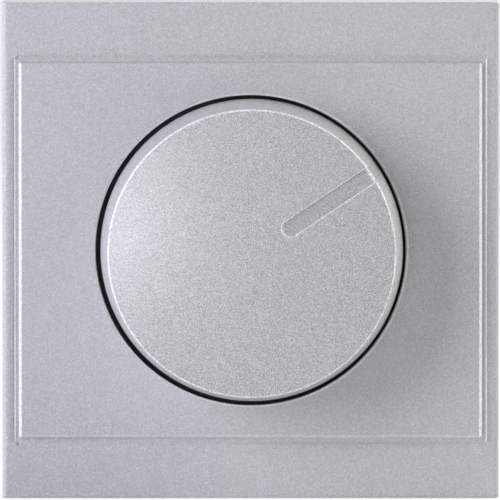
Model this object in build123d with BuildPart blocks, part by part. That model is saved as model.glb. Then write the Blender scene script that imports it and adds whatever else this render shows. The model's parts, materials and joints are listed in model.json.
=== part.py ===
from build123d import *
from math import cos, hypot, radians, sin
import os

# Flush-mounted push-and-turn dimmer switch, in millimetres.
# The wall's face is the plane y = 0, the front looks along -Y, +Z is up, and the shaft lies on the Y axis.
# A height is a distance out of the wall, so a piece in the wall box has negative heights.

# Cover frame
frame_side = 80.0
frame_height = 9.6
frame_wall = 1.6
frame_side_round = 0.8
frame_end_round = 0.25
side_rail = 2.0
recess_depth = 0.3
window_corner = 0.4
window_edge_round = 0.2
window_lip = 1.0
ledge_width = 4.0
frame_rib = 1.2
frame_rib_depth = 2.0
frame_rib_count = 5

# Centre plate, which sits with the frame a little to the left of the shaft
cover_shift = -0.2
plate_gap = 0.7
plate_proud = 0.3
plate_wall = 2.0
plate_corner = 0.5
plate_edge_round = 0.45
plate_margin = 5.3
well_wall = 1.5
well_floor = 1.2
well_room = 2.5
well_edge_round = 0.25
boss_radius = 9.0
lug_length = 8.0
lug_wall = 1.4
lug_reach = 2.0
lug_pitch = 30.0
lug_clearance = 0.3

# Knob
knob_base_radius = 24.4
knob_front_radius = 23.15
knob_gap = 0.6
knob_stand = 11.0
knob_sink = 0.8
knob_dome = 0.8
knob_rim_round = 0.2
knob_wall = 2.0
knob_top = 2.4
pointer_angle = 33.6
pointer_width = 2.7
pointer_start = 6.0
pointer_depth = 0.35
pointer_end_round = 0.4
hub_radius = 5.0
hub_slit = 1.0
hub_slit_depth = 3.5
rib_count = 6
rib_wall = 1.2
rib_drop = 3.0
clip_wire = 0.8
clip_bite = 0.45
clip_open = 60.0
clip_clearance = 0.02

# Mounting plate and its fixing slots
support_margin = 2.9
support_thickness = 1.2
support_corner = 9.0
fixing_pitch = 60.0
fixing_slot_length = 6.0
fixing_slot_width = 3.5

# Shaft, bushing and clamp nut
shaft_radius = 3.0
shaft_flat = 1.5
shaft_key = 2.2
shaft_top_gap = 0.5
shaft_bore_spare = 0.3
shaft_run = 0.05
shaft_chamfer = 0.4
bushing_radius = 5.0
bushing_spare = 0.6
bushing_hole_clearance = 0.15
bushing_cover_clearance = 0.35
bushing_flange = 1.2
bushing_flange_side = 15.0
nut_across = 14.0
nut_thickness = 2.5
nut_clearance = 0.05
push_travel = 1.6
push_clearance = 0.4

# Potentiometer
pot_side = 16.0
pot_depth = 5.8
pot_floor = 1.2
pot_cavity_radius = 7.0
rotor_radius = 6.7
rotor_disc = 1.5
rotor_hub_radius = 4.0
rotor_play = 0.1
track_thickness = 0.6
track_width = 2.4
wiper_sheet = 0.3
wiper_width = 1.2
wiper_span = 5.0
wiper_gap = 0.05
pin_width = 0.8
pin_sheet = 0.4
pin_pitch = 5.0

# Push switch behind the potentiometer
switch_side = 14.6
switch_depth = 7.0
switch_floor = 1.2
switch_cavity_radius = 4.6
switch_foot = 1.0
switch_foot_side = 2.0
shaft_head_radius = 3.9
shaft_head = 1.2
shaft_head_gap = 0.1
plunger_collar = 1.0
plunger_collar_radius = 4.2
plunger_stem_radius = 1.5
plunger_stem_reach = 0.4
spring_radius = 2.6
spring_wire = 0.45
spring_turns = 3
spring_gap = 0.05

# Housing in the wall box
housing_radius = 25.5
housing_half_width = 18.9
housing_wall = 1.5
housing_back = 1.5
housing_edge_round = 1.2
vent_width = 1.8
vent_length = 18.0
vent_count = 6
vent_pitch = 4.4
vent_height = 8.0
post_radius = 1.5
post_x = 14.2
post_z = 10.0
screw_boss_radius = 2.5
screw_boss_depth = 10.0
screw_radius = 1.2
screw_length = 8.0
screw_head_radius = 2.3
screw_head = 1.5
screw_slot = 0.7
screw_slot_depth = 0.8
screw_clearance = 0.2
screw_grip_clearance = 0.02
screw_inset = 2.9
screw_angles = (90, 234, 306)

# Circuit board and what stands on it
board_thickness = 1.6
board_clearance = 0.4
choke_inset = 7.7
choke_angle = 61.0
choke_radius = 5.0
choke_bore = 2.8
choke_height = 5.0
winding_wire = 0.6
winding_tape = 0.15
winding_turns = 20
winding_arc = 300.0
winding_clearance = 0.05
film_x = -8.6
film_inset = 10.9
film_width = 12.0
film_breadth = 7.0
film_height = 11.0
timing_x = -12.6
timing_width = 4.0
timing_breadth = 7.0
timing_height = 7.5
case_round = 0.5
fuse_x = 6.4
fuse_inset = 10.9
fuse_radius = 4.0
fuse_height = 8.0
resistor_places = [(11.0, -3.6), (11.0, 3.6), (14.4, 0.0)]
resistor_radius = 1.1
resistor_length = 5.4
resistor_lead = 0.6
resistor_stand = 1.8

# Power switch on the mounting plate
triac_x = -1.9
triac_clearance = 1.2
triac_width = 10.0
triac_body = 9.2
triac_thickness = 4.4
triac_tab = 6.4
triac_tab_thickness = 1.3
triac_leg = 0.8
triac_leg_sheet = 0.5
triac_leg_pitch = 2.54
triac_leg_reach = 2.4
triac_leg_height = 2.4
rivet_radius = 1.6
rivet_head_radius = 2.6
rivet_head = 0.8
rivet_clearance = 0.05

# Terminals behind the board
terminal_count = 3
terminal_pitch = 7.5
terminal_width = 6.0
terminal_length = 8.0
terminal_height = 6.0
terminal_inset = 9.0
wire_radius = 1.8
wire_entry_clearance = 0.15
terminal_screw_radius = 1.4
terminal_screw_clearance = 0.05
terminal_head_radius = 2.2
terminal_head = 1.6
terminal_access_clearance = 0.4
terminal_back_gap = 0.9

# Spreading claws
claw_width = 9.0
claw_sheet = 1.2
claw_gap = 0.4
claw_eye_radius = 1.55
claw_pin_radius = 0.8
claw_pin_height = -6.0
claw_pin_run = 0.05
claw_length = 15.0
claw_tooth = 2.2
claw_ear = 1.5
claw_ear_radius = 1.9
claw_side_play = 0.4
barrel_radius = 1.8
barrel_length = 8.0
barrel_seat = 0.25
barrel_gap = 0.35
barrel_drop = 1.0
claw_screw_radius = 1.5
claw_screw_run = 0.05
claw_screw_hole_clearance = 0.15
claw_screw_spare = 0.8
claw_screw_head_radius = 2.7
claw_screw_head = 1.8
claw_screw_slot = 0.8
claw_screw_slot_depth = 0.9
fork_clearance = 0.35
fork_reach = 2.8

# Widths that follow from the sizes above
well_radius = knob_base_radius + knob_gap
plate_breadth = 2 * (well_radius + plate_margin)
window_height = plate_breadth + 2 * plate_gap
window_width = frame_side - 2 * side_rail
plate_width = window_width - 2 * plate_gap
inner_side = frame_side - 2 * frame_wall
support_side = inner_side - 2 * support_margin

# Heights that follow from the sizes above
plate_height = frame_height + plate_proud
ledge_height = frame_height - recess_depth
frame_inside = frame_height - frame_wall
floor_rear = support_thickness + well_room
floor_front = floor_rear + well_floor
nut_front = floor_front + nut_thickness
bushing_front = nut_front + bushing_spare
knob_base = plate_height - knob_sink
knob_rim = plate_height + knob_stand
knob_ceiling = knob_rim - knob_top
dome_radius = (knob_front_radius**2 + knob_dome**2) / (2 * knob_dome)
dome_middle = knob_rim + knob_dome - dome_radius
hub_base = bushing_front + push_travel + push_clearance
shaft_front = knob_ceiling - shaft_top_gap
pot_front = -bushing_flange
pot_rear = pot_front - pot_depth
pot_inside = pot_rear + pot_floor
rotor_front = pot_front - rotor_play
rotor_rear = rotor_front - rotor_disc
track_front = pot_inside + track_thickness
head_front = pot_rear - shaft_head_gap
head_rear = head_front - shaft_head
collar_rear = head_rear - plunger_collar
switch_rear = pot_rear - switch_depth
switch_inside = switch_rear + switch_floor
board_front = switch_rear - switch_foot
board_rear = board_front - board_thickness
terminal_rear = board_rear - terminal_height
housing_inside = terminal_rear - terminal_back_gap
housing_rear = housing_inside - housing_back

# Places in the housing, as x and z
def ring_place(inset, angle):
    """A place at an angle round the shaft, by its distance in from the housing's outside."""
    ring = housing_radius - inset
    return ring * cos(radians(angle)), ring * sin(radians(angle))


screw_places = [ring_place(screw_inset, angle) for angle in screw_angles]
choke_place = ring_place(choke_inset, choke_angle)
film_place = (film_x, housing_radius - film_inset)
timing_place = (timing_x, 0)
fuse_place = (fuse_x, fuse_inset - housing_radius)
triac_place = (triac_x, -(pot_side + triac_width) / 2 - triac_clearance)
rivet_place = (triac_x + (triac_body + triac_tab) / 2, triac_place[1])
terminal_z = terminal_inset - housing_radius

# Claw places that follow from the sizes above
claw_pin_x = housing_half_width + claw_gap + claw_eye_radius
barrel_reach = claw_eye_radius + barrel_radius + barrel_gap
barrel_x = claw_pin_x + (barrel_reach**2 - barrel_drop**2) ** 0.5
barrel_height = claw_pin_height - barrel_drop
fork_rear = barrel_height + barrel_radius + barrel_seat

os.makedirs("parts", exist_ok=True)


def level(height):
    """Plane across the shaft at a height out of the wall, seen from the front."""
    return Plane(origin=(0, -height, 0), x_dir=(1, 0, 0), z_dir=(0, -1, 0))


def cover_level(height):
    """The same plane on the axis of the frame and the centre plate."""
    return Plane(origin=(cover_shift, -height, 0), x_dir=(1, 0, 0), z_dir=(0, -1, 0))


# Cover frame: a shell with a shallow recess and a ledge that the centre plate presses on
with BuildPart() as cover_frame:
    with BuildSketch(cover_level(0)):
        Rectangle(frame_side, frame_side)
    extrude(amount=frame_height)
    fillet(cover_frame.faces().sort_by(Axis.Y)[0].edges().filter_by(Axis.Z), frame_side_round)
    rear_corner_edges = 2
    end_edges = cover_frame.faces().filter_by(Axis.Z).edges().sort_by(Axis.Y)[:-rear_corner_edges]
    fillet(end_edges, frame_end_round)
    with BuildSketch(cover_level(ledge_height)):
        RectangleRounded(window_width, window_height, window_corner)
    extrude(amount=recess_depth, mode=Mode.SUBTRACT)
    window_edges = cover_frame.faces().sort_by(Axis.Y)[0].inner_wires()[0].edges()
    fillet(window_edges, window_edge_round)
    # Soft slope from the face into the recess, along the window's top and bottom
    lip_length = window_width - 2 * window_corner
    with BuildSketch(Plane.YZ.offset(cover_shift - lip_length / 2)):
        with BuildLine():
            lip_top = (-frame_height, window_height / 2 + window_lip)
            lip_foot = (-ledge_height, window_height / 2)
            TangentArc(lip_top, lip_foot, tangent=(0, -1))
            Polyline(
                lip_foot,
                (-ledge_height, window_height / 2 - window_lip),
                (-frame_height - window_lip, window_height / 2 - window_lip),
                (-frame_height - window_lip, window_height / 2 + window_lip),
                lip_top,
            )
        make_face()
        mirror(about=Plane.XZ)
    extrude(amount=lip_length, mode=Mode.SUBTRACT)
    # Hollow behind the front wall, and the way through for the well
    ledge_open = (window_width - 2 * ledge_width, window_height - 2 * ledge_width)
    with BuildSketch(cover_level(0)):
        Rectangle(inner_side, inner_side)
    extrude(amount=frame_inside, mode=Mode.SUBTRACT)
    with BuildSketch(cover_level(0)):
        Rectangle(*ledge_open)
    extrude(amount=frame_height, mode=Mode.SUBTRACT)
    # Ribs behind the upper and the lower band
    band_rib = (inner_side + frame_wall - ledge_open[1]) / 2
    with BuildSketch(cover_level(frame_inside - frame_rib_depth)):
        for side in (1, -1):
            with Locations((0, side * (ledge_open[1] + band_rib) / 2)):
                with GridLocations(inner_side / frame_rib_count, 1, frame_rib_count, 1):
                    Rectangle(frame_rib, band_rib)
    extrude(amount=frame_rib_depth + (frame_wall - recess_depth) / 2)
cover_frame.part.label = "cover_frame"
export_step(cover_frame.part, "parts/cover_frame.step")

# Centre plate: flange on the frame's ledge, pad in its opening, round well with a floor clamped by the nut
with BuildPart() as centre_plate:
    with BuildSketch(cover_level(ledge_height)):
        RectangleRounded(plate_width, plate_breadth, plate_corner)
    extrude(amount=plate_height - ledge_height)
    fillet(centre_plate.faces().sort_by(Axis.Y)[0].edges(), plate_edge_round)
    pad_width, pad_breadth = [side - 2 * lug_clearance for side in ledge_open]
    with BuildSketch(cover_level(plate_height - plate_wall)):
        Rectangle(pad_width, pad_breadth)
    extrude(amount=plate_wall - plate_edge_round)
    with BuildSketch(cover_level(floor_rear)):
        Circle(well_radius + well_wall)
    extrude(amount=plate_height - plate_wall / 2 - floor_rear)
    with BuildSketch(cover_level(floor_front)):
        Circle(well_radius)
    extrude(amount=plate_height - floor_front, mode=Mode.SUBTRACT)
    fillet(centre_plate.faces().sort_by(Axis.Y)[0].inner_wires()[0].edges(), well_edge_round)
    with BuildSketch(cover_level(support_thickness)):
        Circle(boss_radius)
    extrude(amount=floor_rear - support_thickness)
    with BuildSketch(cover_level(0)):
        Circle(bushing_radius + bushing_cover_clearance)
    extrude(amount=floor_front, mode=Mode.SUBTRACT)
    # Lugs behind the pad that guide the plate into the frame
    with BuildSketch(cover_level(plate_height - plate_wall - lug_reach)):
        with GridLocations(pad_width - lug_wall, lug_pitch, 2, 2):
            Rectangle(lug_wall, lug_length)
    extrude(amount=lug_reach + plate_wall / 2)
centre_plate.part.label = "centre_plate"
export_step(centre_plate.part, "parts/centre_plate.step")

# Pointer groove: a slot from the face down to a lowered copy of the face's dome
with BuildPart() as pointer_groove:
    pointer_end = knob_base_radius + pointer_width
    pointer_inner = pointer_start + pointer_width / 2
    with BuildSketch(level(knob_ceiling)):
        with PolarLocations((pointer_inner + pointer_end) / 2, 1, start_angle=pointer_angle):
            SlotCenterToCenter(pointer_end - pointer_inner, pointer_width)
    extrude(amount=knob_rim + 2 * knob_dome - knob_ceiling)
    with Locations((0, pointer_depth - dome_middle, 0)):
        Sphere(dome_radius, mode=Mode.SUBTRACT)

# Knob: domed cap with a tapered skirt, ribs and a slit hub
with BuildPart() as knob:
    knob_slope = (knob_base_radius - knob_front_radius) / (knob_rim - knob_base)
    with BuildSketch(Plane.XY):
        with BuildLine():
            Polyline(
                (0, -knob_base),
                (knob_base_radius, -knob_base),
                (knob_front_radius - knob_slope * knob_dome, -knob_rim - knob_dome),
                (0, -knob_rim - knob_dome),
                close=True,
            )
        make_face()
    revolve(axis=Axis.Y)
    with Locations((0, -dome_middle, 0)):
        Sphere(dome_radius, mode=Mode.INTERSECT)
    fillet(knob.faces().sort_by(Axis.Y)[0].edges(), knob_rim_round)
    add(pointer_groove.part, mode=Mode.SUBTRACT)
    mouth_reach = knob_front_radius - pointer_depth
    mouth_edges = [e for e in knob.edges(Select.LAST) if hypot(e.center().X, e.center().Z) > mouth_reach]
    fillet(ShapeList(mouth_edges).sort_by(Axis.Y)[-1], pointer_end_round)
    with BuildSketch(Plane.XY):
        with BuildLine():
            Polyline(
                (0, -knob_ceiling),
                (0, -knob_base),
                (knob_base_radius - knob_wall, -knob_base),
                (knob_front_radius - knob_wall, -knob_ceiling),
                close=True,
            )
        make_face()
    revolve(axis=Axis.Y, mode=Mode.SUBTRACT)
    rib_length = knob_front_radius - knob_wall / 2 - hub_radius / 2
    with BuildSketch(level(hub_base + rib_drop)):
        with PolarLocations(hub_radius / 2 + rib_length / 2, rib_count, start_angle=pointer_angle):
            Rectangle(rib_length, rib_wall)
    extrude(amount=knob_ceiling - hub_base - rib_drop)
    with BuildSketch(level(hub_base)):
        Circle(hub_radius)
    extrude(amount=knob_ceiling - hub_base)
    with BuildSketch(level(hub_base)):
        Circle(shaft_radius + shaft_run)
        with Locations((0, -shaft_radius + shaft_flat)):
            Rectangle(4 * shaft_radius, 2 * shaft_radius + 2 * shaft_run, mode=Mode.INTERSECT)
    extrude(amount=shaft_front + shaft_bore_spare - hub_base, mode=Mode.SUBTRACT)
    with BuildSketch(level(hub_base)):
        Rectangle(2 * hub_radius + hub_slit, hub_slit)
    extrude(amount=hub_slit_depth, mode=Mode.SUBTRACT)
    # Groove round the hub for the spring ring
    with BuildSketch(level(hub_base + clip_wire)):
        Circle(hub_radius + hub_slit)
        Circle(hub_radius - clip_bite, mode=Mode.SUBTRACT)
    extrude(amount=clip_wire + 2 * clip_clearance, mode=Mode.SUBTRACT)
knob.part.label = "knob"
export_step(knob.part, "parts/knob.step")

with BuildPart() as knob_clip:
    clip_ring = hub_radius - clip_bite + clip_wire / 2 + clip_clearance
    clip_height = hub_base + 1.5 * clip_wire + clip_clearance
    with BuildSketch(Plane.XY):
        with Locations((clip_ring, -clip_height)):
            Circle(clip_wire / 2)
    revolve(axis=Axis.Y, revolution_arc=360 - clip_open)
knob_clip.part.label = "knob_clip"
export_step(knob_clip.part, "parts/knob_clip.step")

# Shaft: flat at the knob, two key flats in the rotor, head behind the potentiometer
with BuildPart() as control_shaft:
    with BuildSketch(level(head_front)):
        Circle(shaft_radius)
    extrude(amount=shaft_front - head_front)
    with BuildSketch(level(bushing_front)):
        with Locations((0, shaft_flat + shaft_radius)):
            Rectangle(4 * shaft_radius, 2 * shaft_radius)
    extrude(amount=shaft_front - bushing_front, mode=Mode.SUBTRACT)
    chamfer(control_shaft.faces().sort_by(Axis.Y)[0].edges(), shaft_chamfer)
    with BuildSketch(level(head_front)):
        with GridLocations(2 * (shaft_key + shaft_radius), 1, 2, 1):
            Rectangle(2 * shaft_radius, 4 * shaft_radius)
    extrude(amount=rotor_front + push_travel + push_clearance - head_front, mode=Mode.SUBTRACT)
    with BuildSketch(level(head_rear)):
        Circle(shaft_head_radius)
    extrude(amount=shaft_head)
control_shaft.part.label = "control_shaft"
export_step(control_shaft.part, "parts/control_shaft.step")

with BuildPart() as pot_bushing:
    with BuildSketch(level(pot_front)):
        RectangleRounded(bushing_flange_side, bushing_flange_side, bushing_flange)
    extrude(amount=bushing_flange)
    with BuildSketch(level(0)):
        Circle(bushing_radius)
    extrude(amount=bushing_front)
    chamfer(pot_bushing.faces().sort_by(Axis.Y)[0].edges(), bushing_spare / 2)
    with BuildSketch(level(pot_front)):
        Circle(shaft_radius + shaft_run)
    extrude(amount=bushing_front - pot_front, mode=Mode.SUBTRACT)
pot_bushing.part.label = "pot_bushing"
export_step(pot_bushing.part, "parts/pot_bushing.step")

with BuildPart() as clamp_nut:
    with BuildSketch(level(floor_front)):
        RegularPolygon(nut_across / 2, 6, major_radius=False)
        Circle(bushing_radius + nut_clearance, mode=Mode.SUBTRACT)
    extrude(amount=nut_thickness)
clamp_nut.part.label = "clamp_nut"
export_step(clamp_nut.part, "parts/clamp_nut.step")

# Mounting plate: steel square with cut corners, fixing slots and holes for everything it carries
with BuildPart() as mounting_plate:
    with BuildSketch(level(0)) as support:
        Rectangle(support_side, support_side)
        chamfer(support.vertices(), support_corner)
        Circle(bushing_radius + bushing_hole_clearance, mode=Mode.SUBTRACT)
        with GridLocations(fixing_pitch, 1, 2, 1):
            SlotOverall(fixing_slot_length, fixing_slot_width, mode=Mode.SUBTRACT)
        with GridLocations(1, fixing_pitch, 1, 2):
            SlotOverall(fixing_slot_length, fixing_slot_width, rotation=90, mode=Mode.SUBTRACT)
        with GridLocations(2 * barrel_x, 1, 2, 1):
            Circle(claw_screw_radius + claw_screw_hole_clearance, mode=Mode.SUBTRACT)
        with Locations(*screw_places):
            Circle(screw_radius + screw_clearance, mode=Mode.SUBTRACT)
        with Locations(rivet_place):
            Circle(rivet_radius + rivet_clearance, mode=Mode.SUBTRACT)
    extrude(amount=support_thickness)
mounting_plate.part.label = "mounting_plate"
export_step(mounting_plate.part, "parts/mounting_plate.step")

# Potentiometer: square case, ring track, rotor and sprung wiper
with BuildPart() as pot_body:
    with BuildSketch(level(pot_rear)):
        RectangleRounded(pot_side, pot_side, pot_floor)
    extrude(amount=pot_depth)
    with BuildSketch(level(pot_inside)):
        Circle(pot_cavity_radius)
    extrude(amount=pot_front - pot_inside, mode=Mode.SUBTRACT)
    with BuildSketch(level(pot_rear)):
        Circle(shaft_radius + 2 * shaft_run)
    extrude(amount=pot_floor, mode=Mode.SUBTRACT)
pot_body.part.label = "pot_body"
export_step(pot_body.part, "parts/pot_body.step")

track_radius = pot_cavity_radius - shaft_run
with BuildPart() as resistor_track:
    with BuildSketch(level(pot_inside)):
        Circle(track_radius)
        Circle(track_radius - track_width, mode=Mode.SUBTRACT)
    extrude(amount=track_thickness)
resistor_track.part.label = "resistor_track"
export_step(resistor_track.part, "parts/resistor_track.step")

with BuildPart() as wiper_rotor:
    with BuildSketch(level(rotor_rear)):
        Circle(rotor_radius)
    extrude(amount=rotor_disc)
    with BuildSketch(level(pot_inside + rotor_play)):
        Circle(rotor_hub_radius)
    extrude(amount=rotor_front - pot_inside - rotor_play)
    with BuildSketch(level(pot_inside)):
        Circle(shaft_radius + shaft_run)
        Rectangle(2 * shaft_key + 2 * shaft_run, 4 * shaft_radius, mode=Mode.INTERSECT)
    extrude(amount=-pot_inside, mode=Mode.SUBTRACT)
wiper_rotor.part.label = "wiper_rotor"
export_step(wiper_rotor.part, "parts/wiper_rotor.step")

with BuildPart() as wiper_contact:
    wiper_middle = track_radius - track_width / 2
    with BuildSketch(level(rotor_rear - wiper_sheet)):
        Circle(wiper_middle + wiper_width / 2)
        Circle(wiper_middle - wiper_width / 2, mode=Mode.SUBTRACT)
    extrude(amount=wiper_sheet)
    wiper_tip = -track_front - wiper_gap
    with BuildSketch(Plane.YZ.offset(-wiper_middle - wiper_width / 2)):
        with BuildLine():
            Polyline(
                (-rotor_rear, -wiper_span / 2),
                (-rotor_rear + 2 * wiper_sheet, -wiper_span / 2),
                (wiper_tip, 0),
                (wiper_tip, wiper_span / 6),
                (wiper_tip - 2 * wiper_sheet, 0),
                close=True,
            )
        make_face()
    extrude(amount=wiper_width)
wiper_contact.part.label = "wiper_contact"
export_step(wiper_contact.part, "parts/wiper_contact.step")

with BuildPart() as pot_pins:
    pin_z = -(pot_side + switch_side) / 4
    with BuildSketch(level(board_front)):
        with Locations((0, pin_z)):
            with GridLocations(pin_pitch, 1, 3, 1):
                Rectangle(pin_width, pin_sheet)
    extrude(amount=pot_rear - board_front)
pot_pins.part.label = "pot_pins"
export_step(pot_pins.part, "parts/pot_pins.step")

# Push switch: case on four feet, plunger and return spring
with BuildPart() as switch_body:
    with BuildSketch(level(switch_rear)):
        RectangleRounded(switch_side, switch_side, switch_floor)
    extrude(amount=switch_depth)
    with BuildSketch(level(switch_inside)):
        Circle(switch_cavity_radius)
    extrude(amount=pot_rear - switch_inside, mode=Mode.SUBTRACT)
    with BuildSketch(level(switch_rear)):
        Circle(plunger_stem_radius + shaft_run)
    extrude(amount=switch_floor, mode=Mode.SUBTRACT)
    foot_pitch = switch_side - 2 * switch_foot_side
    with BuildSketch(level(board_front)):
        with GridLocations(foot_pitch, foot_pitch, 2, 2):
            Rectangle(switch_foot_side, switch_foot_side)
    extrude(amount=switch_foot)
switch_body.part.label = "switch_body"
export_step(switch_body.part, "parts/switch_body.step")

with BuildPart() as switch_plunger:
    with BuildSketch(level(collar_rear)):
        Circle(plunger_collar_radius)
    extrude(amount=plunger_collar)
    with BuildSketch(level(switch_inside - plunger_stem_reach)):
        Circle(plunger_stem_radius)
    extrude(amount=collar_rear - switch_inside + plunger_stem_reach)
switch_plunger.part.label = "switch_plunger"
export_step(switch_plunger.part, "parts/switch_plunger.step")

with BuildPart() as return_spring:
    spring_rise = collar_rear - switch_inside - spring_wire - 2 * spring_gap
    spring_start = -(switch_inside + spring_gap + spring_wire / 2)
    with BuildLine():
        coil = Helix(
            pitch=spring_rise / spring_turns,
            height=spring_rise,
            radius=spring_radius,
            center=(0, spring_start, 0),
            direction=(0, -1, 0),
        )
    with BuildSketch(Plane(origin=coil @ 0, z_dir=coil % 0)):
        Circle(spring_wire / 2)
    sweep()
return_spring.part.label = "return_spring"
export_step(return_spring.part, "parts/return_spring.step")

# Housing: deep cup with flat sides, posts for the board, vents, terminals' openings and claw lugs
with BuildPart() as housing:
    with BuildSketch(level(0)):
        Circle(housing_radius)
        Rectangle(2 * housing_half_width, 2 * housing_radius, mode=Mode.INTERSECT)
    extrude(amount=housing_rear)
    fillet(housing.faces().sort_by(Axis.Y)[-1].edges(), housing_edge_round)
    with BuildSketch(level(0)):
        Circle(housing_radius - housing_wall)
        Rectangle(2 * (housing_half_width - housing_wall), 2 * housing_radius, mode=Mode.INTERSECT)
    extrude(amount=housing_inside, mode=Mode.SUBTRACT)
    # Bosses for the housing screws, trimmed to the cup's outline
    with BuildSketch(level(0)):
        with Locations(*screw_places):
            Circle(screw_boss_radius)
        Circle(housing_radius - housing_wall / 2, mode=Mode.INTERSECT)
        with Locations(*screw_places):
            Circle(screw_radius + screw_grip_clearance, mode=Mode.SUBTRACT)
    extrude(amount=-screw_boss_depth)
    with BuildSketch(level(housing_inside)):
        with GridLocations(2 * post_x, 2 * post_z, 2, 2):
            Circle(post_radius)
    extrude(amount=board_rear - housing_inside)
    with BuildSketch(level(housing_rear)):
        with Locations((0, vent_height)):
            with GridLocations(vent_pitch, 1, vent_count, 1):
                SlotOverall(vent_length, vent_width, rotation=90)
        with Locations((0, terminal_z)):
            with GridLocations(terminal_pitch, 1, terminal_count, 1):
                Circle(terminal_head_radius + terminal_access_clearance)
    extrude(amount=housing_back, mode=Mode.SUBTRACT)
    # Wire entries through the lower wall
    wire_height = (board_rear + terminal_rear) / 2
    with BuildSketch(Plane.XY.offset(-housing_radius)):
        with Locations((0, -wire_height)):
            with GridLocations(terminal_pitch, 1, terminal_count, 1):
                Circle(wire_radius + wire_entry_clearance)
    extrude(amount=housing_radius + terminal_z - terminal_length / 2, mode=Mode.SUBTRACT)
    # Lugs for the claw pins on both flat sides
    ear_middle = claw_width / 2 + claw_side_play + claw_ear / 2
    ear_root = housing_half_width - housing_wall / 2
    for side in (1, -1):
        for place in (1, -1):
            with BuildSketch(Plane.XY.offset(place * ear_middle)):
                with Locations((side * claw_pin_x, -claw_pin_height)):
                    Circle(claw_ear_radius)
                with Locations((side * (claw_pin_x + ear_root) / 2, -claw_pin_height)):
                    Rectangle(claw_pin_x - ear_root, 2 * claw_ear_radius)
                with Locations((side * claw_pin_x, -claw_pin_height)):
                    Circle(claw_pin_radius + screw_grip_clearance, mode=Mode.SUBTRACT)
            extrude(amount=claw_ear / 2, both=True)
housing.part.label = "housing"
export_step(housing.part, "parts/housing.step")

with BuildPart() as housing_screws:
    with BuildSketch(level(support_thickness)):
        with Locations(*screw_places):
            Circle(screw_head_radius)
    extrude(amount=screw_head)
    with BuildSketch(level(support_thickness)):
        with Locations(*screw_places):
            Circle(screw_radius)
    extrude(amount=-screw_length)
    with BuildSketch(level(support_thickness + screw_head)):
        with Locations(*screw_places):
            Rectangle(2 * screw_head_radius, screw_slot)
    extrude(amount=-screw_slot_depth, mode=Mode.SUBTRACT)
housing_screws.part.label = "housing_screws"
export_step(housing_screws.part, "parts/housing_screws.step")

# Circuit board and the parts that stand on its front
with BuildPart() as circuit_board:
    with BuildSketch(level(board_rear)):
        Circle(housing_radius - housing_wall - board_clearance)
        board_width = 2 * (housing_half_width - housing_wall - board_clearance)
        Rectangle(board_width, 2 * housing_radius, mode=Mode.INTERSECT)
        Circle(plunger_stem_radius + board_clearance, mode=Mode.SUBTRACT)
    extrude(amount=board_thickness)
circuit_board.part.label = "circuit_board"
export_step(circuit_board.part, "parts/circuit_board.step")

winding_space = choke_height + 2 * winding_clearance
core_rear = board_front + winding_wire + winding_clearance
with BuildPart() as choke_core:
    with BuildSketch(level(core_rear)):
        with Locations(choke_place):
            Circle(choke_radius)
            Circle(choke_bore, mode=Mode.SUBTRACT)
    extrude(amount=choke_height)
choke_core.part.label = "choke_core"
export_step(choke_core.part, "parts/choke_core.step")

# Turns of wire on a thin layer of tape round the core
with BuildPart() as choke_winding:
    choke_axis = Axis((choke_place[0], 0, choke_place[1]), (0, -1, 0))
    turn_place = ((choke_radius + choke_bore) / 2, -core_rear - choke_height / 2)
    winding_width = choke_radius - choke_bore + 2 * winding_clearance
    turn_outside = (winding_width + 2 * winding_wire, winding_space + 2 * winding_wire)
    for turn in range(winding_turns):
        angle = radians(turn * winding_arc / (winding_turns - 1))
        turn_plane = Plane(
            origin=choke_axis.position, x_dir=(cos(angle), 0, sin(angle)), z_dir=(-sin(angle), 0, cos(angle))
        )
        with BuildSketch(turn_plane):
            with Locations(turn_place):
                RectangleRounded(*turn_outside, winding_wire)
                Rectangle(winding_width, winding_space, mode=Mode.SUBTRACT)
        extrude(amount=winding_wire / 2, both=True)
    with BuildSketch(Plane.XY.offset(choke_place[1])):
        with Locations((choke_place[0] + turn_place[0], turn_place[1])):
            Rectangle(winding_width + 2 * winding_tape, winding_space + 2 * winding_tape)
            Rectangle(winding_width, winding_space, mode=Mode.SUBTRACT)
    revolve(axis=choke_axis, revolution_arc=winding_arc)
choke_winding.part.label = "choke_winding"
export_step(choke_winding.part, "parts/choke_winding.step")

with BuildPart() as film_capacitor:
    with BuildSketch(level(board_front)):
        with Locations(film_place):
            Rectangle(film_width, film_breadth)
    extrude(amount=film_height)
    fillet(film_capacitor.edges().filter_by(Axis.Y), case_round)
    fillet(film_capacitor.faces().sort_by(Axis.Y)[0].edges(), case_round / 2)
film_capacitor.part.label = "film_capacitor"
export_step(film_capacitor.part, "parts/film_capacitor.step")

with BuildPart() as timing_capacitor:
    with BuildSketch(level(board_front)):
        with Locations(timing_place):
            Rectangle(timing_width, timing_breadth)
    extrude(amount=timing_height)
    fillet(timing_capacitor.edges().filter_by(Axis.Y), case_round)
    fillet(timing_capacitor.faces().sort_by(Axis.Y)[0].edges(), case_round / 2)
timing_capacitor.part.label = "timing_capacitor"
export_step(timing_capacitor.part, "parts/timing_capacitor.step")

with BuildPart() as fuse:
    with BuildSketch(level(board_front)):
        with Locations(fuse_place):
            Circle(fuse_radius)
    extrude(amount=fuse_height)
    fillet(fuse.faces().sort_by(Axis.Y)[0].edges(), case_round)
fuse.part.label = "fuse"
export_step(fuse.part, "parts/fuse.step")

with BuildPart() as resistors:
    resistor_middle = board_front + resistor_stand + resistor_radius
    for place in resistor_places:
        with BuildSketch(Plane.XY.offset(place[1])):
            with Locations((place[0], -resistor_middle)):
                Circle(resistor_radius)
        extrude(amount=resistor_length / 2, both=True)
        with BuildSketch(level(board_front)):
            with Locations((place[0], place[1])):
                with GridLocations(1, resistor_length - resistor_lead, 1, 2):
                    Rectangle(resistor_lead, resistor_lead)
        extrude(amount=resistor_middle - board_front)
resistors.part.label = "resistors"
export_step(resistors.part, "parts/resistors.step")

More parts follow.
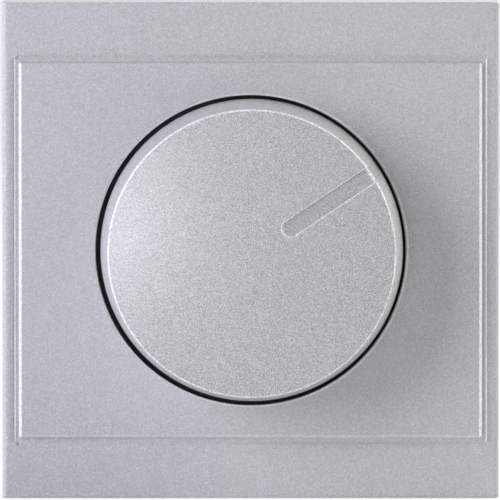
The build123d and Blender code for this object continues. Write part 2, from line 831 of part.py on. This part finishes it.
# Power switch: body and tab flat on the mounting plate, legs bent down to the board
with BuildPart() as triac:
    with BuildSketch(level(0)):
        with Locations(triac_place):
            Rectangle(triac_body, triac_width)
    extrude(amount=-triac_thickness)
    with BuildSketch(level(0)):
        with Locations(rivet_place):
            Rectangle(triac_tab, triac_width)
            Circle(rivet_radius + rivet_clearance, mode=Mode.SUBTRACT)
    extrude(amount=-triac_tab_thickness)
    leg_start = triac_place[0] - triac_body / 2
    for step in (-1, 0, 1):
        with BuildSketch(Plane.XY.offset(triac_place[1] + step * triac_leg_pitch)):
            with BuildLine():
                Polyline(
                    (leg_start, triac_leg_height),
                    (leg_start - triac_leg_reach, triac_leg_height),
                    (leg_start - triac_leg_reach, -board_front),
                    (leg_start - triac_leg_reach + triac_leg_sheet, -board_front),
                    (leg_start - triac_leg_reach + triac_leg_sheet, triac_leg_height + triac_leg_sheet),
                    (leg_start, triac_leg_height + triac_leg_sheet),
                    close=True,
                )
            make_face()
        extrude(amount=triac_leg / 2, both=True)
triac.part.label = "triac"
export_step(triac.part, "parts/triac.step")

with BuildPart() as triac_rivet:
    with BuildSketch(level(support_thickness)):
        with Locations(rivet_place):
            Circle(rivet_head_radius)
    extrude(amount=rivet_head)
    with BuildSketch(level(support_thickness)):
        with Locations(rivet_place):
            Circle(rivet_radius)
    extrude(amount=-support_thickness - triac_tab_thickness)
    with BuildSketch(level(-triac_tab_thickness)):
        with Locations(rivet_place):
            Circle(rivet_head_radius)
    extrude(amount=-rivet_head)
triac_rivet.part.label = "triac_rivet"
export_step(triac_rivet.part, "parts/triac_rivet.step")

# Terminals behind the board: wires come in from below, screws turn from the back
with BuildPart() as terminal_cages:
    with BuildSketch(level(terminal_rear)):
        with Locations((0, terminal_z)):
            with GridLocations(terminal_pitch, 1, terminal_count, 1):
                Rectangle(terminal_width, terminal_length)
    extrude(amount=terminal_height)
    with BuildSketch(Plane.XY.offset(terminal_z - terminal_length / 2)):
        with Locations((0, -wire_height)):
            with GridLocations(terminal_pitch, 1, terminal_count, 1):
                Circle(wire_radius)
    extrude(amount=terminal_length, mode=Mode.SUBTRACT)
    with BuildSketch(level(terminal_rear)):
        with Locations((0, terminal_z)):
            with GridLocations(terminal_pitch, 1, terminal_count, 1):
                Circle(terminal_screw_radius + terminal_screw_clearance)
    extrude(amount=wire_height - terminal_rear, mode=Mode.SUBTRACT)
terminal_cages.part.label = "terminal_cages"
export_step(terminal_cages.part, "parts/terminal_cages.step")

with BuildPart() as terminal_screws:
    with BuildSketch(level(terminal_rear)):
        with Locations((0, terminal_z)):
            with GridLocations(terminal_pitch, 1, terminal_count, 1):
                Circle(terminal_head_radius)
    extrude(amount=-terminal_head)
    with BuildSketch(level(terminal_rear)):
        with Locations((0, terminal_z)):
            with GridLocations(terminal_pitch, 1, terminal_count, 1):
                Circle(terminal_screw_radius)
    extrude(amount=wire_height - terminal_rear)
    with BuildSketch(level(terminal_rear - terminal_head)):
        with Locations((0, terminal_z)):
            with GridLocations(terminal_pitch, 1, terminal_count, 1):
                Rectangle(2 * terminal_head_radius, screw_slot)
    extrude(amount=screw_slot_depth, mode=Mode.SUBTRACT)
terminal_screws.part.label = "terminal_screws"
export_step(terminal_screws.part, "parts/terminal_screws.step")

# Claws: forked bell cranks on pins, pulled forward by barrel nuts on the claw screws
arm_inner = claw_pin_x - claw_eye_radius
arm_end = claw_pin_height - claw_length
for name, side in (("left", -1), ("right", 1)):
    with BuildPart() as claw:
        with BuildSketch(Plane.XY):
            with Locations((side * claw_pin_x, -claw_pin_height)):
                Circle(claw_eye_radius)
            with BuildLine():
                Polyline(
                    (side * arm_inner, -claw_pin_height),
                    (side * arm_inner, -arm_end),
                    (side * (arm_inner + claw_sheet + claw_tooth), -arm_end),
                    (side * (arm_inner + claw_sheet), -arm_end - claw_tooth),
                    (side * (arm_inner + claw_sheet), -claw_pin_height),
                    close=True,
                )
            make_face()
            with BuildLine():
                Polyline(
                    (side * claw_pin_x, -fork_rear),
                    (side * (barrel_x + fork_reach), -fork_rear),
                    (side * (barrel_x + fork_reach), -fork_rear - claw_sheet),
                    (side * claw_pin_x, -fork_rear - claw_sheet),
                    (side * (claw_pin_x - claw_sheet), -claw_pin_height - claw_eye_radius / 2),
                    close=True,
                )
            make_face()
            with Locations((side * claw_pin_x, -claw_pin_height)):
                Circle(claw_pin_radius + claw_pin_run, mode=Mode.SUBTRACT)
        extrude(amount=claw_width / 2, both=True)
        # Fork for the screw, open at its outer end
        fork_start = claw_pin_x + claw_eye_radius + fork_clearance / 2
        with BuildSketch(level(fork_rear)):
            with Locations((side * (fork_start + fork_reach + barrel_radius), 0)):
                Rectangle(2 * (fork_reach + barrel_radius), 2 * (claw_screw_radius + fork_clearance))
        extrude(amount=claw_sheet, mode=Mode.SUBTRACT)
    claw.part.label = f"claw_{name}"
    export_step(claw.part, f"parts/claw_{name}.step")

    with BuildPart() as claw_pin:
        pin_reach = ear_middle + claw_ear / 2
        with BuildSketch(Plane.XY):
            with Locations((side * claw_pin_x, -claw_pin_height)):
                Circle(claw_pin_radius)
        extrude(amount=pin_reach, both=True)
    claw_pin.part.label = f"claw_pin_{name}"
    export_step(claw_pin.part, f"parts/claw_pin_{name}.step")

    with BuildPart() as claw_nut:
        with BuildSketch(Plane.XY):
            with Locations((side * barrel_x, -barrel_height)):
                Circle(barrel_radius)
        extrude(amount=barrel_length / 2, both=True)
        with BuildSketch(level(barrel_height - barrel_radius)):
            with Locations((side * barrel_x, 0)):
                Circle(claw_screw_radius + claw_screw_run)
        extrude(amount=2 * barrel_radius, mode=Mode.SUBTRACT)
    claw_nut.part.label = f"claw_nut_{name}"
    export_step(claw_nut.part, f"parts/claw_nut_{name}.step")

    with BuildPart() as claw_screw:
        screw_end = barrel_height - barrel_radius - claw_screw_spare
        with BuildSketch(level(screw_end)):
            with Locations((side * barrel_x, 0)):
                Circle(claw_screw_radius)
        extrude(amount=support_thickness - screw_end)
        with BuildSketch(level(support_thickness)):
            with Locations((side * barrel_x, 0)):
                Circle(claw_screw_head_radius)
        extrude(amount=claw_screw_head)
        with BuildSketch(level(support_thickness + claw_screw_head)):
            with Locations((side * barrel_x, 0)):
                Rectangle(2 * claw_screw_head_radius, claw_screw_slot)
        extrude(amount=-claw_screw_slot_depth, mode=Mode.SUBTRACT)
    claw_screw.part.label = f"claw_screw_{name}"
    export_step(claw_screw.part, f"parts/claw_screw_{name}.step")
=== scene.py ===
import json
import math

import bpy
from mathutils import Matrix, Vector


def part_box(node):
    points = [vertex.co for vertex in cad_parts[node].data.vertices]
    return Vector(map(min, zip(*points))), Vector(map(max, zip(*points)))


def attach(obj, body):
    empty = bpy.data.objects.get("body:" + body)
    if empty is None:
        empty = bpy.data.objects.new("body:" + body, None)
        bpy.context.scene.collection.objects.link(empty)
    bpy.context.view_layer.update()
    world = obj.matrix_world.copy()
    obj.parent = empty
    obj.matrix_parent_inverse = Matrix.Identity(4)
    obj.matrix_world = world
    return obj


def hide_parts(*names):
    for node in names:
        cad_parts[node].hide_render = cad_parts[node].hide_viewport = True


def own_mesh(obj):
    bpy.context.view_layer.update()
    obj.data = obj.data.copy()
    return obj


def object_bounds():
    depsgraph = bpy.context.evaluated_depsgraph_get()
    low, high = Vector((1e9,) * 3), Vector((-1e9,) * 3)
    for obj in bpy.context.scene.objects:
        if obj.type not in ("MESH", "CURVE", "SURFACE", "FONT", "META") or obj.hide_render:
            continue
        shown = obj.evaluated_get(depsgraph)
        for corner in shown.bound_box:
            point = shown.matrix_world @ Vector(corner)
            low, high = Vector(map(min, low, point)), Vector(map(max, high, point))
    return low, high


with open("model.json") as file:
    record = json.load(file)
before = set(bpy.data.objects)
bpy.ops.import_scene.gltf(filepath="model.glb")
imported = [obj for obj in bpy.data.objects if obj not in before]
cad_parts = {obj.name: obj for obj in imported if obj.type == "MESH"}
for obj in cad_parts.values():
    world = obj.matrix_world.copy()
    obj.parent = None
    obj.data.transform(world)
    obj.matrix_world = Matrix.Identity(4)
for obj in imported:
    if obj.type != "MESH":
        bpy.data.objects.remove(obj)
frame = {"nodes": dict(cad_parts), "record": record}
cad_low, cad_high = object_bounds()

# The photograph's view, with lengths in metres
image_side = 500
cover_pixels = 496.6
view_distance = 2.6
view_rise = math.radians(3.0)
aim_right = -0.00009
aim_down = -0.00003
sensor = 36.0
nearest, farthest = 0.01, 100

# The cover and the knob, as in the CAD model
cover_low, cover_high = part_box("cover_frame")
cover_width = cover_high.x - cover_low.x
cover_middle = (cover_low + cover_high) / 2
plate_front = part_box("centre_plate")[0].y
well_radius = 0.025
window_half = Vector((0.038, 0, 0.031))
plate_half = Vector((0.0373, 0, 0.0303))
knob_rim = 0.02315
groove_angle = math.radians(33.6)
groove_half = 0.00135
groove_start = 0.006 + groove_half

# Values that several materials share
lacquer_roughness = 0.42
edge_samples = 8
hair = 0.00005
thin = 0.0001
noise_low, noise_high = 0.3, 0.7


def colour(red, green, blue):
    """A colour for a socket, from the values it has on screen."""
    def linear(value):
        share = value / 255
        return share / 12.92 if share <= 0.04045 else ((share + 0.055) / 1.055) ** 2.4
    return linear(red), linear(green), linear(blue), 1.0


white = colour(255, 255, 255)


def new_material(name, base, metallic, roughness):
    material = bpy.data.materials.new(name)
    material.use_nodes = True
    shader = material.node_tree.nodes["Principled BSDF"]
    shader.inputs["Base Color"].default_value = base
    shader.inputs["Metallic"].default_value = metallic
    shader.inputs["Roughness"].default_value = roughness
    return material, material.node_tree, shader


def feed(tree, socket, value):
    """Links a socket to another one, or sets it to a value."""
    if isinstance(value, bpy.types.NodeSocket):
        tree.links.new(value, socket)
    else:
        socket.default_value = value


def node(tree, kind, inputs=None, **settings):
    """A new shader node with its settings and inputs."""
    made = tree.nodes.new("ShaderNode" + kind)
    for name, value in settings.items():
        setattr(made, name, value)
    for name, value in (inputs or {}).items():
        feed(tree, made.inputs[name], value)
    return made


def number(tree, operation, *values):
    """Result of arithmetic with numbers."""
    return node(tree, "Math", dict(enumerate(values)), operation=operation).outputs["Value"]


def vector(tree, operation, *values):
    """Result of arithmetic with vectors."""
    return node(tree, "VectorMath", dict(enumerate(values)), operation=operation).outputs["Vector"]


def measure(tree, operation, *values):
    """Number taken from vectors."""
    return node(tree, "VectorMath", dict(enumerate(values)), operation=operation).outputs["Value"]


def scaled(tree, value, factor):
    """A colour made darker or lighter, or a vector made shorter or longer."""
    return node(tree, "VectorMath", {0: value, "Scale": factor}, operation="SCALE").outputs["Vector"]


def parts_of(tree, value):
    """The X, Y and Z of a vector."""
    return node(tree, "SeparateXYZ", {"Vector": value}).outputs


def span(tree, value, start, end, low, high):
    """A value mapped from one span to another, and held at its ends."""
    ends = {"From Min": start, "From Max": end, "To Min": low, "To Max": high}
    return node(tree, "MapRange", {"Value": value, **ends}).outputs["Result"]


def mixed(tree, factor, first, second):
    """Colour between first and second."""
    mix = node(tree, "Mix", data_type="RGBA")
    for socket, value in zip((mix.inputs[0], mix.inputs[6], mix.inputs[7]), (factor, first, second)):
        feed(tree, socket, value)
    return mix.outputs[2]


def noise(tree, place, scale, detail):
    return node(tree, "TexNoise", {"Vector": place, "Scale": scale, "Detail": detail}).outputs["Fac"]


def own_place(tree):
    """Place on the piece, in metres in the part's own frame."""
    return node(tree, "TexCoord").outputs["Object"]


def from_axis(tree, place):
    """Distance from the shaft's axis."""
    at = parts_of(tree, place)
    return measure(tree, "LENGTH", node(tree, "CombineXYZ", {"X": at["X"], "Z": at["Z"]}).outputs["Vector"])


def product(tree, *values):
    """Product of values, so of shares a share that is high only where all of them are."""
    result = values[0]
    for value in values[1:]:
        result = number(tree, "MULTIPLY", result, value)
    return result


def band(tree, value, start, end, soft):
    """Share that is high from start to end."""
    rise = span(tree, value, start - soft, start, 0, 1)
    return product(tree, rise, span(tree, value, end, end + soft, 1, 0))


def lightened(tree, tint, gains):
    """Colour multiplied by each gain where its share is high."""
    return scaled(tree, tint, product(tree, *(span(tree, share, 0, 1, 1, gain) for share, gain in gains)))


def lacquer(name, base, metallic, flake, grain, lean, edge):
    """Aluminium-effect lacquer: small flakes that differ in brightness and lean a little, and softened edges.

    flake is their size and edge the width of the softening, in metres. A few flakes are bright and most are a little
    dull, so that the mean keeps the base colour.
    """
    material, tree, shader = new_material(name, base, metallic, lacquer_roughness)
    place = own_place(tree)
    flakes = node(tree, "TexVoronoi", {"Vector": place, "Scale": 1 / flake}).outputs["Color"]
    bright = number(tree, "POWER", node(tree, "SeparateColor", {"Color": flakes}).outputs["Blue"], 2)
    tint = scaled(tree, base[:3], span(tree, bright, 0, 1, 1 - grain, 1 + 2 * grain))
    lean_way = scaled(tree, vector(tree, "SUBTRACT", flakes, (0.5, 0.5, 0.5)), lean)
    soft_edge = node(tree, "Bevel", {"Radius": edge}, samples=edge_samples).outputs["Normal"]
    normal = vector(tree, "NORMALIZE", vector(tree, "ADD", soft_edge, lean_way))
    tree.links.new(normal, shader.inputs["Normal"])
    tree.links.new(soft_edge, shader.inputs["Coat Normal"])
    return material, tree, shader, place, tint


def cover_lacquer():
    """Lacquer on the frame and plate, with painted highlights on their thin edges, partly metallic, painted shade
    beside the window, and the well's inside bare dark plastic.
    """
    metallic, polish = 0.05, 0.8
    bare_plastic = colour(78, 75, 72)
    bare_start, bare_full = plate_front + 0.0003, plate_front + 0.0012
    well_line, plate_line, fade = 0.0003, 0.0004, 0.001
    material, tree, shader, place, tint = lacquer(
        "cover_lacquer", colour(182, 181, 181), metallic, flake=0.00013, grain=0.13, lean=0.22, edge=0.00025
    )
    shader.inputs["Specular IOR Level"].default_value = 0.25

    at = parts_of(tree, place)
    away = from_axis(tree, place)
    off = parts_of(tree, vector(tree, "ABSOLUTE", vector(tree, "SUBTRACT", place, cover_middle)))
    left = span(tree, at["X"], -well_radius, 0, 1, 0)
    right = span(tree, at["X"], 0, well_radius, 0, 1)
    below = span(tree, at["Z"], -fade, 0, 1, 0)
    in_plate = span(tree, off["X"], plate_half.x, plate_half.x + thin, 1, 0)
    beside = span(tree, off["Z"], window_half.z - thin, window_half.z, 1, 0)

    # Painted highlight on the rounded edge of the plate's well.
    painted_well_highlight = band(tree, away, well_radius, well_radius + well_line, hair)
    # Painted highlight on the plate's left and right edges, stronger on the right.
    painted_plate_highlight = product(
        tree, band(tree, off["X"], plate_half.x - plate_line, plate_half.x, thin),
        span(tree, off["Z"], plate_half.z - plate_line, plate_half.z, 1, 0),
    )
    # Painted highlight along the plate's bottom edge.
    painted_foot_highlight = product(
        tree, in_plate, below, band(tree, off["Z"], plate_half.z - plate_line, plate_half.z, thin),
    )
    # Painted highlight on the window's left and right edges.
    painted_window_highlight = product(tree, beside, band(tree, off["X"], window_half.x - thin, window_half.x + hair, hair))
    # Metallic edges on the left half of the well and the window, lightened further as painted highlight.
    polished_with_highlight = product(tree, number(tree, "MAXIMUM", painted_well_highlight, painted_window_highlight), left)
    # Painted shade on the frame's narrow bands beside the window's sides.
    painted_shade_strip = product(
        tree, beside, band(tree, off["X"], window_half.x + thin, window_half.x + 2 * thin, fade),
        span(tree, off["X"], window_half.x, window_half.x + thin, 0, 1),
    )
    # Painted highlights lighten the lacquer on the edges and painted shade darkens it beside the window.
    tint = lightened(tree, tint, [
        (painted_well_highlight, 1.4), (painted_plate_highlight, 1.5), (product(tree, painted_plate_highlight, right), 1.25), (painted_foot_highlight, 1.2),
        (painted_window_highlight, 1.5), (polished_with_highlight, 1.4), (painted_shade_strip, 0.8),
    ])

    inside = span(tree, away, well_radius + thin, well_radius + 2 * thin, 1, 0)
    bare = product(tree, inside, span(tree, at["Y"], bare_start, bare_full, 0, 1))
    tree.links.new(mixed(tree, bare, tint, bare_plastic), shader.inputs["Base Color"])
    shine = product(tree, span(tree, polished_with_highlight, 0, 1, metallic, polish), span(tree, bare, 0, 1, 1, 0))
    tree.links.new(shine, shader.inputs["Metallic"])
    return material


def knob_lacquer():
    """Lacquer on the knob, clear-coated on top, with painted light on its flank, painted highlights on its edges and
    painted shade on the groove's floor.
    """
    rim_inner, rim_outer, rim_soft = knob_rim - 0.00022, knob_rim + 0.00004, 0.00004
    end_inner, end_outer = knob_rim - 0.0005, knob_rim - 0.0002
    lip_width, line, middle = 0.0001, 0.0003, 0.0005
    material, tree, shader, place, tint = lacquer(
        "knob_lacquer", colour(157, 156, 156), metallic=0.2, flake=0.00007, grain=0.5, lean=0.6, edge=0.00035
    )
    shader.inputs["Coat Roughness"].default_value = 0.25
    shader.inputs["Coat IOR"].default_value = 2.0

    away = from_axis(tree, place)
    along_way = (math.cos(groove_angle), 0, math.sin(groove_angle))
    across_way = (-math.sin(groove_angle), 0, math.cos(groove_angle))
    along = measure(tree, "DOT_PRODUCT", place, along_way)
    across = measure(tree, "DOT_PRODUCT", place, across_way)
    short = number(tree, "MAXIMUM", number(tree, "SUBTRACT", groove_start, along), 0)
    from_groove = measure(tree, "LENGTH", node(tree, "CombineXYZ", {"X": short, "Y": across}).outputs["Vector"])
    # Inside the groove; its floor gets painted shade below.
    in_groove = span(tree, from_groove, groove_half - hair, groove_half, 1, 0)
    beside = span(tree, from_groove, groove_half - hair, groove_half, 0, 1)
    top = span(tree, away, rim_inner, rim_inner + rim_soft, 1, 0)
    # Painted light on the knob's flank.
    painted_light_side = span(tree, away, rim_inner, rim_inner + rim_soft, 0, 1)

    # Painted highlight along the groove's edges on the top, stronger on the upper edge.
    painted_lip_highlight = product(tree, top, band(tree, from_groove, groove_half, groove_half + lip_width, rim_soft))
    painted_upper_lip_highlight = product(tree, painted_lip_highlight, span(tree, across, -middle, middle, 0, 1))
    # Painted highlight around the groove's round inner end.
    painted_inner_end_highlight = product(
        tree, span(tree, along, groove_start - 3 * line, groove_start - line, 1, 0),
        band(tree, from_groove, groove_half - line, groove_half, hair),
    )
    # Painted highlight at the groove's outer end near the top's edge.
    painted_outer_end_highlight = product(tree, in_groove, band(tree, away, end_inner, end_outer, thin))
    # Painted highlight on the fillet round the top, except at the groove.
    painted_rim_highlight = product(tree, beside, band(tree, away, rim_inner, rim_outer, rim_soft))
    # Painted shade on the groove's floor, painted highlights on the groove's edges and ends and round the top, and
    # painted light on the flank.
    tint = lightened(tree, tint, [
        (in_groove, 0.86), (painted_lip_highlight, 1.9), (painted_upper_lip_highlight, 1.4), (painted_inner_end_highlight, 1.7), (painted_outer_end_highlight, 2), (painted_rim_highlight, 1.4), (painted_light_side, 1.5),
    ])
    tree.links.new(tint, shader.inputs["Base Color"])
    tree.links.new(top, shader.inputs["Coat Weight"])
    return material


def moulded(name, base, roughness, grain, depth):
    """Moulded plastic with a finely eroded surface and a faint unevenness in colour."""
    cloud_scale, unevenness, gloss_change, relief = 120, 0.15, 0.08, 0.35
    material, tree, shader = new_material(name, base, 0.0, roughness)
    place = own_place(tree)
    fine = noise(tree, place, 1 / grain, 3)
    cloud = noise(tree, place, cloud_scale, 4)
    shade = span(tree, cloud, noise_low, noise_high, 1 - unevenness, 1 + unevenness)
    tree.links.new(scaled(tree, base[:3], shade), shader.inputs["Base Color"])
    gloss = span(tree, fine, noise_low, noise_high, roughness - gloss_change, roughness + gloss_change)
    tree.links.new(gloss, shader.inputs["Roughness"])
    bump = node(tree, "Bump", {"Height": fine, "Strength": relief, "Distance": depth})
    tree.links.new(bump.outputs["Normal"], shader.inputs["Normal"])
    return material


def metal(name, base, roughness, stretch, stain):
    """Metal with fine drawn or rolled marks along one way and a cloudy tarnish."""
    cloud_scale, gloss_change, relief, depth = 180, 0.1, 0.15, 0.00003
    tarnish_start, tarnish_full = 0.45, 0.75
    material, tree, shader = new_material(name, base, 1.0, roughness)
    place = own_place(tree)
    marks = noise(tree, vector(tree, "MULTIPLY", place, stretch), 1, 4)
    cloud = noise(tree, place, cloud_scale, 5)
    worn = span(tree, cloud, tarnish_start, tarnish_full, 0, 1)
    tree.links.new(mixed(tree, worn, base, stain), shader.inputs["Base Color"])
    gloss = span(tree, marks, noise_low, noise_high, roughness - gloss_change, roughness + gloss_change)
    tree.links.new(gloss, shader.inputs["Roughness"])
    bump = node(tree, "Bump", {"Height": marks, "Strength": relief, "Distance": depth})
    tree.links.new(bump.outputs["Normal"], shader.inputs["Normal"])
    return material


# Plastics by colour, roughness, and the size and depth of their grain
plastics = {
    "moulded_black": (colour(46, 46, 49), 0.55, 0.00025, 0.00004),
    "pot_plastic": (colour(62, 62, 66), 0.5, 0.0002, 0.00003),
    "rotor_plastic": (colour(222, 218, 206), 0.45, 0.0002, 0.00002),
    "track_laminate": (colour(96, 68, 46), 0.5, 0.0003, 0.00003),
    "board_laminate": (colour(186, 152, 100), 0.5, 0.0003, 0.00003),
    "ferrite": (colour(64, 64, 68), 0.6, 0.0003, 0.00005),
    "capacitor_case": (colour(214, 178, 60), 0.3, 0.0004, 0.00002),
    "dark_case": (colour(44, 44, 47), 0.4, 0.0003, 0.00003),
    "resistor_body": (colour(196, 170, 128), 0.3, 0.0004, 0.00002),
}

# Metals by colour, roughness, marks to a metre along each axis, and colour of the tarnish
rolled = (400, 400, 6000)
turned = (1500, 9000, 1500)
even = (4000, 4000, 4000)
metals = {
    "support_steel": (colour(196, 197, 196), 0.34, rolled, colour(185, 184, 178)),
    "spring_steel": (colour(170, 170, 172), 0.3, even, colour(140, 138, 134)),
    "plated_screw": (colour(206, 203, 190), 0.3, turned, colour(186, 176, 140)),
    "turned_brass": (colour(214, 184, 118), 0.3, turned, colour(180, 146, 84)),
    "copper_wire": (colour(190, 104, 62), 0.3, even, colour(150, 76, 44)),
}

materials = {"cover_lacquer": cover_lacquer(), "knob_lacquer": knob_lacquer()}
materials.update((slot, moulded(slot, *look)) for slot, look in plastics.items())
materials.update((slot, metal(slot, *look)) for slot, look in metals.items())
for subpart in frame["record"]["subparts"]:
    mesh = frame["nodes"][subpart["node"]].data
    mesh.materials.clear()
    mesh.materials.append(materials[subpart["material_slot"]])

# The return spring shortens as the plunger goes in; a copy of its mesh, attached to the root, stands in for it, and
# the part itself is hidden
spring = bpy.data.objects.new("return_spring_coil", frame["nodes"]["return_spring"].data.copy())
bpy.context.scene.collection.objects.link(spring)
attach(spring, "root")
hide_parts("return_spring")
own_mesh(spring)


def softbox(name, turn, rise, distance, width, height, power, tint):
    """Soft lamp that looks at the cover, by its angles to the right of and above the straight view."""
    lamp = bpy.data.lights.new(name, "AREA")
    lamp.shape = "RECTANGLE"
    lamp.size, lamp.size_y = width, height
    lamp.energy = power
    lamp.color = tint
    turn, rise = math.radians(turn), math.radians(rise)
    way = Vector((math.sin(turn) * math.cos(rise), -math.cos(turn) * math.cos(rise), math.sin(rise)))
    box = bpy.data.objects.new(name, lamp)
    box.location = cover_middle + way * distance
    box.rotation_euler = (-way).to_track_quat("-Z", "Y").to_euler()
    box.visible_camera = False
    bpy.context.scene.collection.objects.link(box)


# Lamps by turn and rise in degrees, distance, width and height in metres, power in watts, and colour
neutral = (1, 1, 1)
cool = (0.88, 0.88, 1)
blue = (0.58, 0.74, 1)
softbox("left_softbox", -54, 16, 0.9, 0.52, 0.8, 9.5, cool)
softbox("near_strip", -13, -0.5, 0.45, 0.08, 0.08, 0.145, cool)
softbox("left_edge_light", -88, 20, 0.9, 0.4, 0.6, 2.6, blue)
softbox("right_softbox", 58, 20, 0.9, 0.6, 0.8, 0.4, neutral)
softbox("right_edge_light", 91, 34, 0.9, 0.4, 0.5, 6.6, neutral)
softbox("back_softbox", 150, 35, 0.9, 0.6, 0.6, 5.0, neutral)


def seen(tree):
    """Share that is 1 for what the camera sees, directly, in a reflection or through a clear piece."""
    path = node(tree, "LightPath").outputs
    shown = number(tree, "MAXIMUM", path["Is Camera Ray"], path["Is Glossy Ray"])
    return number(tree, "MAXIMUM", shown, path["Is Transmission Ray"])


# Surroundings that are seen as white and give only a little light
surrounding_light = 0.03
world = bpy.data.worlds.new("surroundings")
bpy.context.scene.world = world
world.use_nodes = True
tree = world.node_tree
tree.nodes.clear()
dim = node(tree, "Background", {"Color": white, "Strength": surrounding_light}).outputs["Background"]
bright = node(tree, "Background", {"Color": white, "Strength": 1.0}).outputs["Background"]
both = node(tree, "MixShader", {0: seen(tree), 1: dim, 2: bright})
node(tree, "OutputWorld", {"Surface": both.outputs["Shader"]})

# Pale floor under the frame's lower edge, seen as nearly white but with the shadows that fall on it
floor_reach = 8.0
floor_gap = 0.0002
floor_grain = 300
glow_strength, glow_share = 1.1, 0.75
bpy.ops.mesh.primitive_plane_add(size=2 * floor_reach, location=(0, 0, cad_low.z - floor_gap))
floor = bpy.context.object
floor.name = "floor"
material, tree, shader = new_material("pale_floor", colour(232, 232, 231), 0.0, 0.8)
grain = noise(tree, own_place(tree), floor_grain, 4)
tree.links.new(mixed(tree, grain, colour(228, 228, 227), colour(236, 236, 235)), shader.inputs["Base Color"])
glow = node(tree, "Emission", {"Color": white, "Strength": glow_strength}).outputs["Emission"]
share = span(tree, seen(tree), 0, 1, 0, glow_share)
both = node(tree, "MixShader", {0: share, 1: shader.outputs["BSDF"], 2: glow})
tree.links.new(both.outputs["Shader"], tree.nodes["Material Output"].inputs["Surface"])
floor.data.materials.append(material)

# Camera in front and a little above, with a long lens
aim = Vector((cover_middle.x + aim_right, cover_low.y, cover_middle.z - aim_down))
back = Vector((0, -math.cos(view_rise), math.sin(view_rise)))
lens = bpy.data.cameras.new("camera")
lens.sensor_width = sensor
lens.lens = sensor * view_distance * cover_pixels / (image_side * cover_width)
lens.clip_start, lens.clip_end = nearest, farthest
camera = bpy.data.objects.new("camera", lens)
camera.location = aim + back * view_distance
camera.rotation_euler = (-back).to_track_quat("-Z", "Y").to_euler()
bpy.context.scene.collection.objects.link(camera)
bpy.context.scene.camera = camera
bpy.context.scene.view_settings.view_transform = "Standard"
